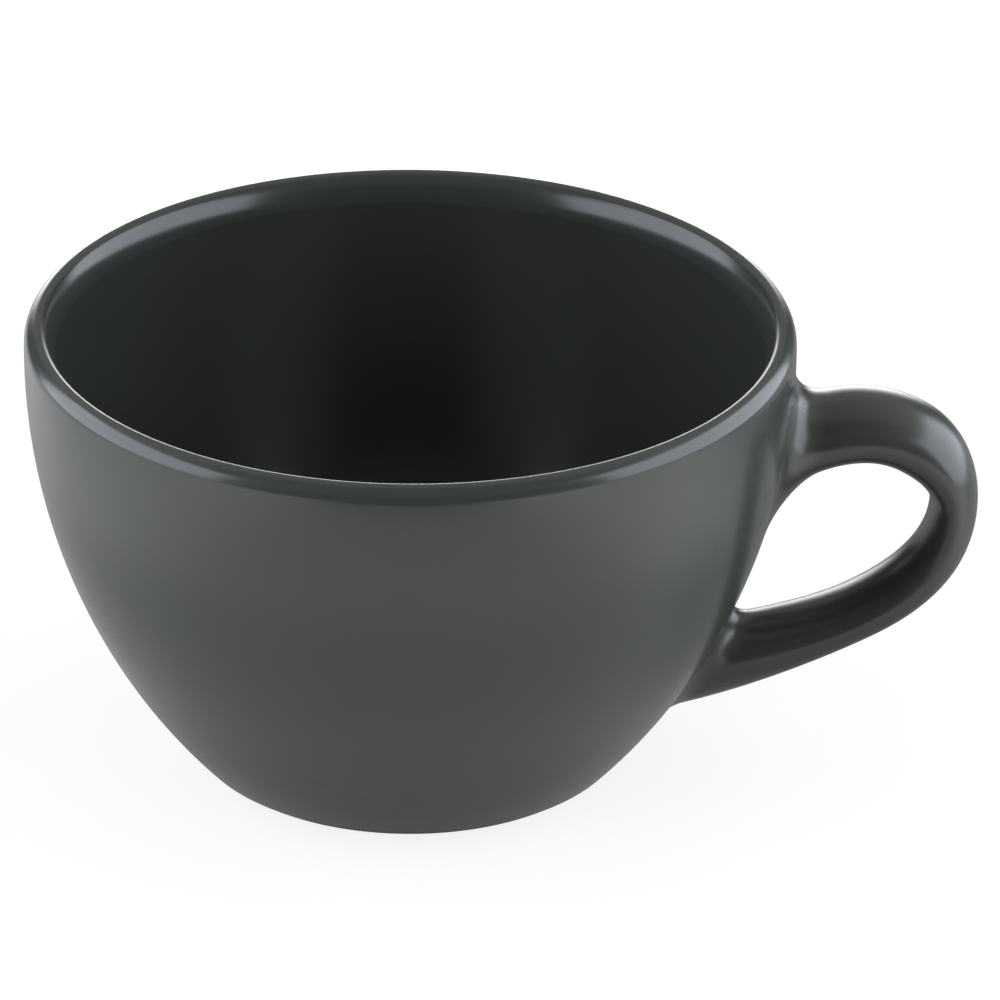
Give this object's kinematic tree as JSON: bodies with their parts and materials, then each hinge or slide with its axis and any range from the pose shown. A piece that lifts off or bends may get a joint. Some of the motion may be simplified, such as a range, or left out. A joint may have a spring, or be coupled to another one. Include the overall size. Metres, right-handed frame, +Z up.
{
  "type": "cappuccino cup",
  "caption": "Wide round ceramic cup with an ear handle, a rolled lip and a bare foot ring, in a dark satin glaze; it holds a milk coffee.",
  "frame": {"origin": "on the table at the centre of the foot ring", "axes": "+Z up along the cup's axis, +X towards the handle"},
  "size_m": [0.1305, 0.105, 0.0638],
  "materials": {
    "clay": "matte",
    "slip": "matte",
    "outer_glaze": "satin",
    "inner_glaze": "satin"
  },
  "bodies": {
    "root": {"bowl": "clay", "handle": "clay", "upper_slip": "slip", "lower_slip": "slip", "outer_glaze": "outer_glaze", "inner_glaze": "inner_glaze", "handle_glaze": "outer_glaze", "base_glaze": "outer_glaze"}
  },
  "joints": []
}
